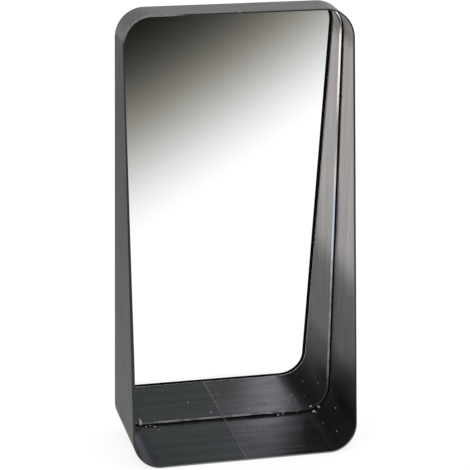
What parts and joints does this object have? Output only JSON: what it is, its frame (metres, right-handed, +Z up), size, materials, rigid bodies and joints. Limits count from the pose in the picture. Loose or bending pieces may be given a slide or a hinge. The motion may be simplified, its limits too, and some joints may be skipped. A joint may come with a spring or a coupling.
{
  "type": "wall mirror with shelf",
  "caption": "Tall wall mirror set deep in a bent steel band with round corners, whose front slopes out downwards so that the bottom makes a shelf.",
  "frame": {"origin": "middle of the underside: the centre of the bounding box in X and Y, at its lowest Z", "axes": "+X to the right seen from the front, +Y towards the wall, +Z up"},
  "size_m": [0.4, 0.18, 0.77],
  "materials": {
    "band_left": "blackened steel under thin clear lacquer, brushed along the band",
    "band_right": "blackened steel under thin clear lacquer, brushed along the band",
    "weld": "ground weld metal",
    "mirror": "silvered glass, ground arris, grey backing paint",
    "tape": "matte foam tape",
    "board": "brown hardboard",
    "rubber": "matte black rubber",
    "bar": "mill-finish flat bar, oiled",
    "lug": "mill-finish angle, heat-tinted at the weld",
    "screw": "zinc plated"
  },
  "bodies": {
    "root": {"frame_left": "band_left", "frame_right": "band_right", "shelf_weld_seam": "weld", "top_weld_seam": "weld", "stop_tack_left_1": "weld", "stop_tack_left_2": "weld", "stop_tack_left_3": "weld", "stop_tack_right_1": "weld", "stop_tack_right_2": "weld", "stop_tack_right_3": "weld", "stop_tack_shelf_1": "weld", "stop_tack_shelf_2": "weld", "stop_tack_shelf_3": "weld", "mirror_glass": "mirror", "bond_tape_left": "tape", "bond_tape_middle": "tape", "bond_tape_right": "tape", "backing_board": "board", "setting_block_left": "rubber", "setting_block_right": "rubber", "hanging_bar": "bar", "lower_bar": "bar", "lug_upper_left": "lug", "lug_upper_right": "lug", "lug_lower_left": "lug", "lug_lower_right": "lug", "lug_weld_upper_left": "weld", "lug_weld_upper_right": "weld", "lug_weld_lower_left": "weld", "lug_weld_lower_right": "weld", "bar_screw_upper_left": "screw", "bar_screw_upper_right": "screw", "bar_screw_lower_left": "screw", "bar_screw_lower_right": "screw", "wall_pad_left": "rubber", "wall_pad_right": "rubber"}
  },
  "joints": []
}
